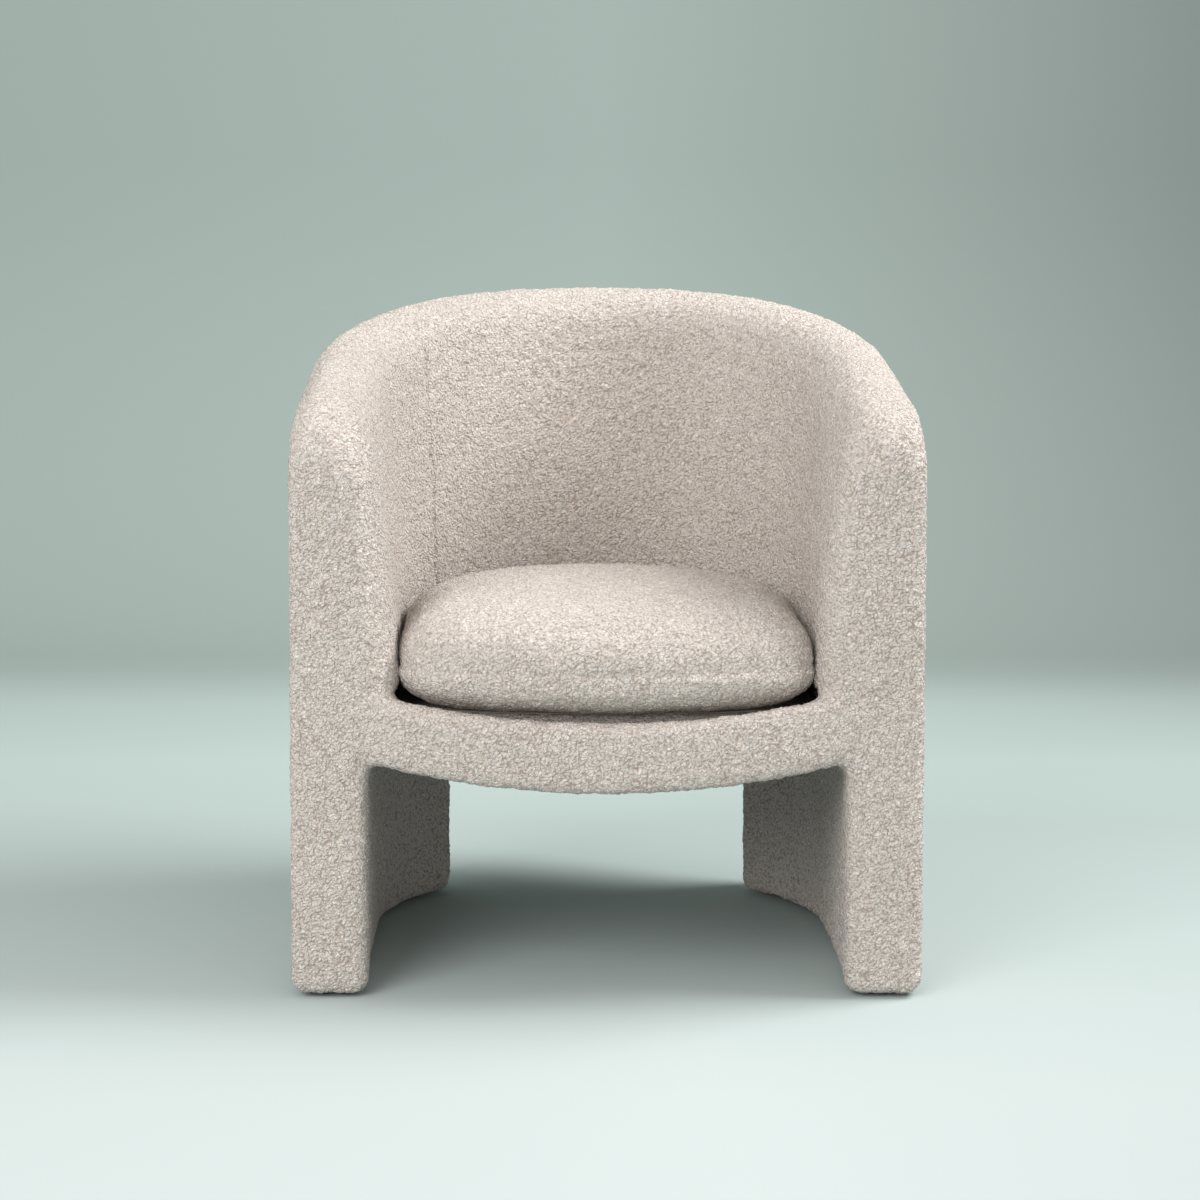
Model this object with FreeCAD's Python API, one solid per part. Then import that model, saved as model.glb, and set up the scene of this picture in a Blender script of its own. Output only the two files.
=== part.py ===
import FreeCAD, Part
import math
import os

# Upholstered tub chair, in millimetres. +Z is up, the front faces -Y, and the
# origin is on the floor under the middle of the chair.

V = FreeCAD.Vector

# Overall form
width = 710.0
depth = 690.0
back_height = 808.0
crest_slope = 12.9
nose_radius = 85.0
rail_bow = 42.0

# Tub wall above the arm base, measured inwards from the outer face
arm_base = 345.0
roll_outer = 34.0
roll_inner = 60.0
wall_at_base = 113.0
shoulder_rise = 4.0
arm_swell = 16.0
swell_end = 43.0
front_round_inner = 50.0
front_round_outer = 11.0
inner_roll_loss = 0.35

# Lower wall: legs and back rail
leg_wall = 79.0
leg_swell = 9.0
leg_end_angle = 47.0
leg_corner = 16.0
leg_end_corner = 14.0
hem_round = 8.0
floor_gap = 3.0
underside = 238.0

# Front rail
rail_top_gap = 0.5
rail_dip = 26.0
rail_depth = 66.0
rail_edge = 12.0
rail_fall = 10.0

# Layers
cloth = 3.0
seam_gap = 0.3
crest_padding = 40.0
inside_seam_angle = 32.0

# Timber and plywood
ply = 18.0
post_width = 45.0
post_depth = 30.0
back_post_angles = (42, 90, 138)
rear_post_angle = 14.0
leg_core_outer = 18.0
leg_core_inner = 52.0
ring_outer = 18.0
ring_inner = 128.0
rim_outer = 86.0
rim_inner = 108.0
rail_board = 24.0
front_set_back = 42.0
back_board_thickness = 3.0
back_board_angle = 35.0

# Seat deck
deck_rise = 1.5
webbing_width = 50.0
webbing_thickness = 1.5
deck_cloth = 1.2
webbing_pitch = 78.0
webbing_row_count = 5

# Loose cushion
cushion_side_gap = 3.0
cushion_taper = 9.0
cushion_front_angle = 21.0
cushion_front_set_back = 9.0
cushion_corner = 70.0
cushion_corner_loss = 0.12
cushion_drop = 50.7
cushion_shoulder = 47.0
cushion_crown = 37.0
cushion_cloth = 2.5
wrap_thickness = 14.0
core_set_in = 46.0
core_thickness = 82.0

# Zip along the rear arc of the cushion
zip_half_angle = 55.0
zip_recess = 5.0
zip_height = 12.0
tape_thickness = 1.2
slider_length = 9.0
slider_thickness = 2.4
slider_height = 7.0

# Glides and fixings
glide_radius = 13.0

# Values that follow from the ones above
radius = width / 2
centre_y = depth / 2 - radius
front_y = rail_bow - depth / 2
swell_length = centre_y - front_y - swell_end
slope = math.tan(math.radians(crest_slope))
rail_half_span = radius - leg_wall - leg_swell
rail_height = arm_base - rail_top_gap - rail_dip - underside
deck_top = underside + rail_height + deck_rise
cushion_half_width = radius - wall_at_base - cushion_side_gap
cushion_bottom = deck_top + seam_gap
cushion_seam = cushion_bottom + cushion_drop
far = 2 * (width + depth)

# Fineness of the curved forms
flat_tolerance = 0.000001
nose_angles = (90, 73, 54, 35, 15)
mid_arm = 150.0
section_step = 10.0
rail_section_step = 45.0
roll_chord_count = 4
plain_chord_count = 2
front_chord_count = 8
corner_chord_count = 5
back_chord_count = 20


def bow_radius(half_chord, rise):
    """Radius of the arc that rises this much over the half chord."""
    return (half_chord ** 2 + rise ** 2) / (2 * rise)


def crest_line(y):
    """Height of the sloping crest over the outer face at y."""
    return back_height - slope * (depth / 2 - y)


def nose_centre():
    """Centre, seen from the side, of the arc that rounds the arm front."""
    y = front_y + nose_radius
    return y, crest_line(y) - nose_radius / math.cos(math.radians(crest_slope))


def crest_height(y):
    """Height of the crest at y, with the rounded arm front."""
    nose_y, nose_z = nose_centre()
    if y >= nose_y - nose_radius * math.sin(math.radians(crest_slope)):
        return crest_line(y)
    return nose_z + math.sqrt(max(nose_radius ** 2 - (nose_y - y) ** 2, 0.0))


def ease(distance, reach):
    """How far a round of this reach has drawn in, at a distance before its end."""
    if distance >= reach:
        return 0.0
    return reach - math.sqrt(reach ** 2 - (reach - distance) ** 2)


def swell(y, amount):
    """Extra thickness of the arm or leg towards the front."""
    start = front_y + swell_length
    if y >= start:
        return 0.0
    return amount * ((start - y) / swell_length) ** 2


def polygon(points):
    """Closed wire of straight edges."""
    return Part.makePolygon(points + [points[0]])


def line(a, b):
    return Part.LineSegment(a, b).toShape()


def arc(a, b, c):
    return Part.Arc(a, b, c).toShape()


def at(angle, reach, z=0.0):
    """Point at an angle from +X and a distance from the back's centre."""
    turn = math.radians(angle)
    return V(reach * math.cos(turn), centre_y + reach * math.sin(turn), z)


def turned(hub, reach, first, last, count):
    """Evenly spaced points along an arc about a hub, both ends included."""
    points = []
    for k in range(count + 1):
        turn = math.radians(first + (last - first) * k / count)
        points.append(hub + V(math.cos(turn), math.sin(turn), 0) * reach)
    return points


def mirrored(shape):
    return shape.mirror(V(0, 0, 0), V(1, 0, 0))


def prism(wire, height):
    return Part.Face(wire).extrude(V(0, 0, height))


def flat_faces(corners):
    """One face for four corners in a plane, otherwise two triangles."""
    a, b, c, d = corners
    normal = (b - a).cross(c - a)
    if normal.Length > 0 and abs(normal.normalize().dot(d - a)) < flat_tolerance:
        return [Part.Face(polygon(corners))]
    return [Part.Face(polygon([a, b, c])), Part.Face(polygon([a, c, d]))]


def lofted(sections):
    """Solid through closed sections of the same number of points, in flat faces."""
    faces = [Part.Face(polygon(sections[0])), Part.Face(polygon(sections[-1]))]
    for near, ahead in zip(sections, sections[1:]):
        for k in range(len(near)):
            faces += flat_faces([near[k - 1], near[k], ahead[k], ahead[k - 1]])
    solid = Part.Solid(Part.Shell(faces))
    if solid.Volume < 0:
        solid.reverse()
    return solid


def u_band(outer, inner, end_y, low, high):
    """U-shaped band between two insets from the outer face."""
    big = radius - outer
    small = radius - inner
    edges = [
        line(V(big, end_y, low), V(big, centre_y, low)),
        arc(at(0, big, low), at(45, big, low), at(90, big, low)),
        arc(at(90, big, low), at(135, big, low), at(180, big, low)),
        line(V(-big, centre_y, low), V(-big, end_y, low)),
        line(V(-big, end_y, low), V(-small, end_y, low)),
        line(V(-small, end_y, low), V(-small, centre_y, low)),
        arc(at(180, small, low), at(135, small, low), at(90, small, low)),
        arc(at(90, small, low), at(45, small, low), at(0, small, low)),
        line(V(small, centre_y, low), V(small, end_y, low)),
        line(V(small, end_y, low), V(big, end_y, low)),
    ]
    return prism(Part.Wire(edges), high - low)


def side_sector(angle, gap=0.0):
    """Right-hand region from the front round to a plane at an angle, less a gap."""
    turn = math.radians(angle)
    start = V(0, centre_y, -far) + V(math.sin(turn), -math.cos(turn), 0) * gap
    end = start + V(math.cos(turn), math.sin(turn), 0) * far
    corners = [start, end, V(far, -far, -far), V(0, -far, -far)]
    return prism(polygon(corners), 2 * far)


def back_sector(angle, gap=0.0):
    """Region behind the two planes at an angle from each side, less a gap."""
    turn = math.radians(angle)
    shift = V(-math.sin(turn), math.cos(turn), 0) * gap
    right = V(0, centre_y, -far) + shift + V(math.cos(turn), math.sin(turn), 0) * far
    middle = V(0, centre_y + gap / math.cos(turn), -far)
    left = V(-right.x, right.y, -far)
    corners = [middle, right, V(far, far, -far), V(-far, far, -far), left]
    return prism(polygon(corners), 2 * far)


def below_crest(drop):
    """Solid under a plane parallel to the crest, ending at the arm front."""
    corners = [
        V(-far, front_y, -far),
        V(-far, far, -far),
        V(-far, far, crest_line(far) - drop),
        V(-far, front_y, crest_line(front_y) - drop),
    ]
    return Part.Face(polygon(corners)).extrude(V(2 * far, 0, 0))


def outside_panel_profile(trim):
    """Side view of an outside panel, rounded like the arm, as a wide solid."""
    nose_y, nose_z = nose_centre()
    lean = math.radians(crest_slope)
    reach = nose_radius - front_round_outer - trim
    drop = roll_outer + trim
    start_z = crest_line(nose_y) - drop / math.cos(lean)
    end_y = nose_y - reach
    turn = min(reach, start_z - nose_z)
    corner_z = crest_line(end_y) - drop / math.cos(lean)
    corners = [
        V(-far, end_y, -far),
        V(-far, far, -far),
        V(-far, far, crest_line(far) - drop / math.cos(lean)),
        V(-far, end_y, corner_z),
    ]
    block = Part.Face(polygon(corners)).extrude(V(2 * far, 0, 0))
    edge = [e for e in block.Edges if is_front_top_edge(e, end_y, corner_z)]
    return block.makeFillet(turn * 0.9, edge)


def is_front_top_edge(edge, y, z):
    box = edge.BoundBox
    return abs(box.YMin - y) < 0.01 and abs(box.ZMin - z) < 0.01 and box.XLength > far


# Tub wall above the arm base


def wall_section(place, top, thickness, grow_outer, grow_inner, inset, low, chords):
    """Closed section of the tub wall: outer face, rolled crest, leaning inner face.

    place turns an inset from the outer face and a height into a point. Each
    round of the crest has this many chords.
    """
    outer_roll = roll_outer - grow_outer
    inner_roll = roll_inner - inner_roll_loss * grow_inner
    inner_hub = V(roll_outer, top - inner_roll, 0)
    outer_hub = V(roll_outer, top - outer_roll, 0)
    run = thickness - grow_inner - roll_outer
    rise = inner_hub.y - arm_base
    lean = math.atan2(run, rise) - math.asin(inner_roll / math.hypot(run, rise))
    flat = turned(inner_hub, inner_roll - inset, math.degrees(lean), 90, chords)[:-1]
    flat += turned(outer_hub, outer_roll - inset, 90, 180, chords)
    flat.append(V(grow_outer + inset, low, 0))
    flat.append(V(flat[0].x + (flat[0].y - low) * math.tan(lean), low, 0))
    return [place(point.x, point.y) for point in flat]


def arm_sections(inset, low, chords):
    """Sections of the right arm from its rounded front to the start of the back."""
    nose = [nose_radius * (1 - math.sin(math.radians(angle))) for angle in nose_angles]
    sections = []
    for distance in nose + [mid_arm]:
        y = front_y + distance
        outer = ease(distance, front_round_outer)
        inner = ease(distance, front_round_inner)
        station_y = y + inset * max(1 - distance / nose_radius, 0.0)

        def place(n, z, station_y=station_y):
            return V(radius - n, station_y, z)

        thickness = wall_at_base + swell(y, arm_swell)
        section = wall_section(place, crest_height(y), thickness, outer, inner, inset, low, chords)
        sections.append(section)
    return sections


def back_sections(first, last, inset, low, chords):
    """Sections of the curved back between two angles."""
    count = math.ceil((last - first) / section_step)
    sections = []
    for step in range(count + 1):
        angle = first + (last - first) * step / count
        top = crest_line(at(angle, radius).y)
        top += shoulder_rise * math.sin(math.radians(2 * angle)) ** 2

        def place(n, z, angle=angle):
            return at(angle, radius - n, z)

        sections.append(wall_section(place, top, wall_at_base, 0.0, 0.0, inset, low, chords))
    return sections


def arm_form(inset, low, chords):
    """Right arm and its turn into the back, moved in by the inset all round."""
    sections = arm_sections(inset, low, chords)
    sections += back_sections(0.0, inside_seam_angle, inset, low, chords)
    return lofted(sections)


def inside_back_form(inset, low, chords):
    """Curved back between the two inside seams, moved in by the inset."""
    last = 180.0 - inside_seam_angle
    return lofted(back_sections(inside_seam_angle, last, inset, low, chords))


# Lower wall: two panel legs and the back rail between them


def lower_outline(inset, low, corner):
    """Right leg seen from above, with its swollen front and rounded corners."""
    big = radius - inset
    inner = radius - leg_wall + inset
    start_y = front_y + swell_length
    bend = bow_radius(swell_length, leg_swell)
    y = front_y + inset
    drawn = bend - math.sqrt(bend ** 2 - (start_y - y) ** 2)
    middle_y = (start_y + y) / 2
    middle = inner - bend + math.sqrt(bend ** 2 - (start_y - middle_y) ** 2)
    end = leg_end_angle
    edges = [
        line(V(big, y, low), V(big, centre_y, low)),
        arc(at(0, big, low), at(end, big, low), at(2 * end, big, low)),
        line(at(2 * end, big, low), at(2 * end, inner, low)),
        arc(at(2 * end, inner, low), at(end, inner, low), at(0, inner, low)),
        line(V(inner, centre_y, low), V(inner, start_y, low)),
        arc(V(inner, start_y, low), V(middle, middle_y, low), V(inner - drawn, y, low)),
        line(V(inner - drawn, y, low), V(big, y, low)),
    ]
    return Part.Wire(edges)


def leg_form(inset, high):
    """Right leg panel, moved in by the inset all round, with its hem rounded."""
    low = floor_gap + inset
    solid = prism(lower_outline(inset, low, leg_corner), high - low)
    solid = solid.common(side_sector(leg_end_angle, inset))
    fronts = []
    ends = []
    outer_front = []
    for edge in solid.Edges:
        box = edge.BoundBox
        if box.ZLength < high - low - 1 or box.XLength > 0.5 or box.YLength > 0.5:
            continue
        if box.YMin < front_y + inset + 1:
            if box.XMin > radius - inset - 1:
                outer_front.append(edge)
            else:
                fronts.append(edge)
        elif box.YMin > centre_y + 0.3 * radius:
            ends.append(edge)
    solid = solid.makeFillet(front_round_outer - inset, outer_front)
    fronts = vertical_edges_near(solid, fronts)
    solid = solid.makeFillet(leg_corner - inset, fronts)
    ends = vertical_edges_near(solid, ends)
    solid = solid.makeFillet(leg_end_corner - inset, ends)
    hem = [e for e in solid.Edges if e.BoundBox.ZMax < low + 0.01]
    return solid.makeChamfer(hem_round - inset, hem)


def vertical_edges_near(solid, wanted):
    """The solid's own edges that lie where the wanted edges lay."""
    found = []
    for edge in solid.Edges:
        for old in wanted:
            if (edge.CenterOfMass - old.CenterOfMass).Length < 0.5:
                if abs(edge.Length - old.Length) < 0.5:
                    found.append(edge)
    return found


def back_rail_form(inset, high):
    """Curved rail between the rear ends of the legs."""
    low = underside + inset
    band = u_band(inset, leg_wall - inset, front_y, low, high)
    return band.common(back_sector(leg_end_angle, seam_gap))


# Front rail


def rail_face(x):
    """Depth at x of the front rail's bowed face."""
    bend = bow_radius(rail_half_span, rail_bow)
    return -depth / 2 + bend - math.sqrt(bend ** 2 - x ** 2)


def rail_plan(front_inset, back_inset, low, high, half_span):
    """Bowed band seen from above, between two distances behind the rail's face."""
    front = [V(x, rail_face(x) + front_inset, low) for x in (-half_span, 0, half_span)]
    back = [V(x, rail_face(x) + back_inset, low) for x in (half_span, 0, -half_span)]
    edges = [arc(*front), line(front[2], back[0]), arc(*back), line(back[2], front[0])]
    return prism(Part.Wire(edges), high - low)


def rail_space(low, high):
    """Space that the front rail takes between the legs, with its clearance."""
    return rail_plan(-seam_gap, rail_depth + seam_gap, low, high, rail_half_span)


def rail_section(x, inset, chords):
    """Closed section of the front rail at x: four sides with rounded corners."""
    dip = bow_radius(rail_half_span, rail_dip)
    rise = dip - math.sqrt(dip ** 2 - x ** 2)
    front = rail_face(x) + inset
    back = rail_face(x) + rail_depth - inset
    low = underside + rise + inset
    high = underside + rise + rail_height - inset
    r = rail_edge - inset
    hubs = [
        V(front + r, high - r, 0),
        V(back - r, high - r - rail_fall, 0),
        V(back - r, low + r, 0),
        V(front + r, low + r, 0),
    ]
    flat = []
    for turn, hub in enumerate(hubs):
        flat += turned(hub, r, 180 - 90 * turn, 90 - 90 * turn, chords)
    return [V(x, point.x, point.y) for point in flat]


def rail_form(inset, end_gap, chords):
    """Front rail between the legs, moved in by the inset all round."""
    half_span = rail_half_span - end_gap
    count = 2 * math.ceil(half_span / rail_section_step)
    spots = [half_span * (2 * k / count - 1) for k in range(count + 1)]
    return lofted([rail_section(x, inset, chords) for x in spots])


# Loose cushion


def cushion_outline(inset, z):
    """D shape seen from above: bowed front, round corners, round back."""
    half = cushion_half_width - inset
    corner = cushion_corner - cushion_corner_loss * inset
    hub_x = half - cushion_taper - corner
    swing = math.radians(cushion_front_angle)
    bend = corner + hub_x / math.sin(swing)
    front_hub = V(0, cushion_front_set_back - depth / 2 + inset + bend, z)
    hub_y = front_hub.y - hub_x / math.tan(swing)
    side = 90 - cushion_front_angle
    points = turned(V(hub_x, hub_y, z), corner, -side, 0, corner_chord_count)
    points += turned(V(0, centre_y, z), half, 0, 180, back_chord_count)
    points += turned(V(-hub_x, hub_y, z), corner, 180, 180 + side, corner_chord_count)
    points += turned(front_hub, bend, side - 180, -side, front_chord_count)[1:-1]
    return points


def cushion_form(inset, angles, shares):
    """Cushion with drawn-in sides and a crowned top, moved in by the inset.

    The angles place the sections below the seam, and the shares those above it.
    """
    drop = cushion_seam - cushion_bottom
    sections = []
    for angle in angles:
        turn = math.radians(angle)
        drawn = drop * (1 - math.cos(turn))
        z = cushion_seam - (drop - inset) * math.sin(turn)
        sections.append(cushion_outline(drawn + inset, z))
    for share in shares:
        drawn = share * cushion_shoulder
        shoulder = math.sqrt(1 - (1 - min(share, 1.0)) ** 2)
        crown = 1 - (1 - min(drawn / cushion_half_width, 1.0)) ** 2
        rise = (cushion_shoulder - inset) * shoulder + cushion_crown * crown
        sections.append(cushion_outline(drawn + inset, cushion_seam + rise))
    return lofted(sections)


def zip_slot(depth_in, height, half_angle):
    """Space along the rear arc of the cushion, open to the rear."""
    outer = cushion_half_width + 1.0
    inner = cushion_half_width - depth_in
    low = cushion_seam - height / 2
    return arc_band(outer, inner, 90 - half_angle, 90 + half_angle, low, height)


def arc_band(outer, inner, first, last, low, height):
    """Curved bar about the back's centre, between two radii and two angles."""
    mid = (first + last) / 2
    edges = [
        arc(at(first, outer, low), at(mid, outer, low), at(last, outer, low)),
        line(at(last, outer, low), at(last, inner, low)),
        arc(at(last, inner, low), at(mid, inner, low), at(first, inner, low)),
        line(at(first, inner, low), at(first, outer, low)),
    ]
    return prism(Part.Wire(edges), height)


# Timber frame


def ring_low():
    return underside + front_set_back / 2


def ring_top():
    return ring_low() + ply


def seat_ring():
    """U-shaped plywood ring that carries the webbing, notched for the front rail."""
    ring = u_band(ring_outer, ring_inner, front_y + front_set_back, ring_low(), ring_top())
    return ring.cut(rail_space(ring_low() - ply, ring_top() + ply))


def seat_rim():
    """Curved plywood band that stands on the seat ring under the inside foam."""
    end_y = front_y + rail_depth + seam_gap
    return u_band(rim_outer, rim_inner, end_y, ring_top(), arm_base - seam_gap)


def base_plate():
    """Curved plywood plate at the foot of the right leg."""
    low = floor_gap + cloth + seam_gap
    band = u_band(leg_core_outer, leg_core_inner, front_y + ring_outer, low, low + ply)
    return band.common(side_sector(leg_end_angle, ring_outer))


def post(angle, y, low, high):
    """Upright timber post, square to the wall, between two heights."""
    middle = (leg_core_outer + leg_core_inner) / 2
    block = Part.makeBox(
        post_depth, post_width, high - low, V(-post_depth / 2, -post_width / 2, low)
    )
    if angle > 0:
        block.rotate(V(0, 0, 0), V(0, 0, 1), angle)
        spot = at(angle, radius - middle)
    else:
        spot = V(radius - middle, y, 0)
    block.translate(spot)
    return block


def leg_posts():
    """Three posts of the right leg between its base plate and the seat ring."""
    low = floor_gap + cloth + seam_gap + ply
    front = post(0, front_y + front_set_back + post_width / 2, low, ring_low())
    middle = post(0, (front_y + front_set_back + centre_y) / 2, low, ring_low())
    rear = post(leg_end_angle - rear_post_angle, 0, low, ring_low())
    return [front, middle, rear]


def rail_underside():
    """Solid under the lower face of the sloping top rail."""
    return below_crest(crest_padding + ply)


def arm_posts():
    """Front and middle posts of the right arm, cut to the slope of the top rail."""
    high = back_height
    front = post(0, front_y + front_set_back + post_width / 2, ring_top(), high)
    middle = post(0, centre_y - post_width, ring_top(), high)
    under = rail_underside()
    return [front.common(under), middle.common(under)]


def back_posts():
    """Three posts of the back, cut to the slope of the top rail."""
    under = rail_underside()
    uprights = [post(angle, 0, ring_top(), back_height) for angle in back_post_angles]
    return [upright.common(under) for upright in uprights]


def top_rail():
    """Sloping plywood rail all round the crest, in one U."""
    slab = below_crest(crest_padding).cut(rail_underside())
    band = u_band(
        leg_core_outer, leg_core_inner, front_y + front_set_back, arm_base, back_height
    )
    return band.common(slab)


def top_rail_pieces():
    """Right, left and back pieces of the top rail, butted at the inside seams."""
    whole = top_rail()
    right = whole.common(side_sector(inside_seam_angle))
    back = whole.common(back_sector(inside_seam_angle, 0.0))
    return right, mirrored(right), back


def front_rail_board():
    """Bowed timber board at the rear of the front rail, against the seat ring."""
    high = ring_top() + ply
    return rail_plan(rail_depth - rail_board, rail_depth, ring_low(), high, rail_half_span - cloth)


def board_space():
    """Space of the rail board, open to the rear, with its clearance."""
    front = rail_depth - rail_board - seam_gap
    low = ring_low() - seam_gap
    high = ring_top() + ply + seam_gap
    return rail_plan(front, rail_depth + cloth, low, high, rail_half_span)


def back_board():
    """Bent plywood panel on the inner faces of the back posts."""
    outer = post_inner_face() - seam_gap
    inner = outer - back_board_thickness
    low = ring_top()
    band = arc_band(outer, inner, back_board_angle, 180 - back_board_angle, low, back_height)
    return band.common(below_crest(crest_padding + ply + seam_gap))


def post_inner_face():
    """Distance of the posts' inner faces from the back's centre."""
    return radius - (leg_core_outer + leg_core_inner + post_depth) / 2


# Seat deck


def deck_area(reach, behind_rail, low, high):
    """D-shaped area between the sides, up to the rail's bowed rear face."""
    side_y = rail_face(reach) + rail_depth + behind_rail
    middle = V(0, rail_face(0) + rail_depth + behind_rail, low)
    edges = [
        arc(V(-reach, side_y, low), middle, V(reach, side_y, low)),
        line(V(reach, side_y, low), V(reach, centre_y, low)),
        arc(at(0, reach, low), at(45, reach, low), at(90, reach, low)),
        arc(at(90, reach, low), at(135, reach, low), at(180, reach, low)),
        line(V(-reach, centre_y, low), V(-reach, side_y, low)),
    ]
    return prism(Part.Wire(edges), high - low)


def seat_webbing():
    """Elastic webbing across the seat ring, from side to side."""
    low = ring_top()
    strips = []
    for row in range(webbing_row_count):
        y = front_y + rail_depth + rail_bow + webbing_width / 2 + row * webbing_pitch
        reach = radius - rim_inner - seam_gap
        rear = y + webbing_width / 2
        if rear > centre_y:
            reach = math.sqrt(reach ** 2 - (rear - centre_y) ** 2)
        spot = V(-reach, y - webbing_width / 2, low)
        strips.append(Part.makeBox(2 * reach, webbing_width, webbing_thickness, spot))
    return strips


def deck_foam():
    low = ring_top() + webbing_thickness + seam_gap
    reach = radius - rim_inner - seam_gap
    return deck_area(reach, 2 * seam_gap, low, deck_top - deck_cloth - seam_gap)


def deck_cover():
    return deck_area(radius - rim_inner - seam_gap, 2 * seam_gap, deck_top - deck_cloth, deck_top)


def dust_cover():
    """Thin cloth under the seat ring, between the legs and the rails."""
    low = ring_low() - seam_gap - webbing_thickness
    reach = radius - leg_wall - leg_swell - 2 * cloth
    return deck_area(reach, 2 * seam_gap, low, low + webbing_thickness)


# Foam


def frame_channel():
    """Space that the frame takes inside the tub wall, with its clearance."""
    inner = radius - post_inner_face() + back_board_thickness + 2 * seam_gap
    end_y = front_y + front_set_back - seam_gap
    band = u_band(leg_core_outer - seam_gap, inner, end_y, 0, back_height)
    return band.common(below_crest(crest_padding - seam_gap))


def arm_foam():
    """Foam of the right arm over the frame, as one inverted channel."""
    return arm_form(cloth + seam_gap, arm_base, plain_chord_count).cut(frame_channel())


def back_foam():
    return inside_back_form(cloth + seam_gap, arm_base, plain_chord_count).cut(frame_channel())


def ring_space():
    """Space above the underside of the seat ring, behind its front edge."""
    end_y = front_y + front_set_back - seam_gap
    return u_band(ring_outer - seam_gap, ring_inner, end_y, ring_low() - seam_gap, arm_base)


def leg_foam():
    """Foam round the frame of the right leg, up to the arm base."""
    body = leg_form(cloth + seam_gap, arm_base - seam_gap)
    outer = leg_core_outer - seam_gap
    inner = leg_core_inner + seam_gap
    core = u_band(outer, inner, front_y + ring_outer - seam_gap, 0, arm_base)
    core = core.common(side_sector(leg_end_angle, ring_outer - seam_gap))
    return body.cut(core).cut(ring_space())


def back_rail_foam():
    """Foam below and outside the frame of the back, between the legs."""
    return back_rail_form(cloth + seam_gap, arm_base - seam_gap).cut(ring_space())


def front_rail_foam():
    """Foam over and under the front rail board, and in front of it."""
    return rail_form(cloth + seam_gap, 2 * cloth, 1).cut(board_space())


# Covers


def outside_block(trim):
    """Region of the outside panels, as deep as the cloth and some clearance."""
    band = u_band(-1.0, cloth + trim, front_y - 1, 0, back_height)
    return band.common(outside_panel_profile(-trim))


def arm_cover():
    """Cover of the right arm: inside, rolled crest and front face."""
    shell = arm_form(0.0, arm_base, roll_chord_count).cut(arm_form(cloth, arm_base, roll_chord_count))
    return shell.cut(outside_block(seam_gap))


def inside_back_cover():
    """Cover of the back between the inside seams, over the crest."""
    outside = inside_back_form(0.0, arm_base, roll_chord_count)
    lining = inside_back_form(cloth, arm_base, roll_chord_count)
    return outside.cut(lining).cut(outside_block(seam_gap))


def outside_band(low):
    band = u_band(0.0, cloth, front_y - 1, low, back_height)
    return band.common(outside_panel_profile(0.0))


def outside_arm_cover():
    """Outside cover of the right arm and leg, from the crest seam to the hem."""
    low = floor_gap + hem_round
    return outside_band(low).common(side_sector(leg_end_angle, leg_end_corner))


def outside_back_cover():
    """Outside cover of the back, between the legs' rear ends."""
    low = underside + hem_round
    return outside_band(low).common(back_sector(leg_end_angle, seam_gap - leg_end_corner))


def leg_cover():
    """Cover of the right leg's front, inner side, rear end and foot."""
    shell = leg_form(0.0, arm_base - seam_gap).cut(leg_form(cloth, arm_base))
    shell = shell.cut(glide_holes())
    low = floor_gap + hem_round - seam_gap
    outside = u_band(-1.0, cloth + seam_gap, front_y - 1, low, back_height)
    outside = outside.common(outside_panel_profile(-seam_gap))
    outside = outside.common(side_sector(leg_end_angle, leg_end_corner - seam_gap))
    return shell.cut(outside).cut(outside_back_space()).cut(ring_space())


def outside_back_space():
    """Space of the outside back cover, with its clearance."""
    low = underside + hem_round - seam_gap
    band = u_band(-1.0, cloth + seam_gap, front_y - 1, low, back_height)
    return band.common(back_sector(leg_end_angle, -leg_end_corner))


def back_rail_cover():
    """Cover of the back rail's underside and its inner side, up to the ring."""
    shell = back_rail_form(0.0, arm_base - seam_gap).cut(back_rail_form(cloth, arm_base))
    return shell.cut(outside_back_space()).cut(ring_space())


def front_rail_cover():
    """Cover round the front rail, fixed along the board's rear edges."""
    shell = rail_form(0.0, seam_gap, plain_chord_count).cut(rail_form(cloth, -cloth, plain_chord_count))
    return shell.cut(board_space())


# Feet and fixings


def glide_spots():
    """Places of the glides under the right leg."""
    middle = radius - (leg_core_outer + leg_core_inner) / 2
    front = V(middle, front_y + front_set_back + post_width / 2, 0)
    return [front, at(leg_end_angle - rear_post_angle, middle)]


def glide_holes():
    holes = []
    for spot in glide_spots():
        holes.append(Part.makeCylinder(glide_radius + seam_gap, far, spot - V(0, 0, far / 2)))
    cutters = holes[0].fuse(holes[1:])
    return cutters.common(Part.makeBox(far, far, ply, V(0, -far / 2, 0)))


def glides():
    """Round glides that stand on the floor, under the right base plate."""
    high = floor_gap + cloth + seam_gap
    discs = []
    for spot in glide_spots():
        discs.append(Part.makeCylinder(glide_radius, high, spot))
    return discs


def cushion_core(inset):
    """Flat foam block of the cushion, cut to the same D shape."""
    outline = cushion_outline(core_set_in + inset, cushion_bottom + wrap_thickness + inset)
    return prism(polygon(outline), core_thickness - 2 * inset)


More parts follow.
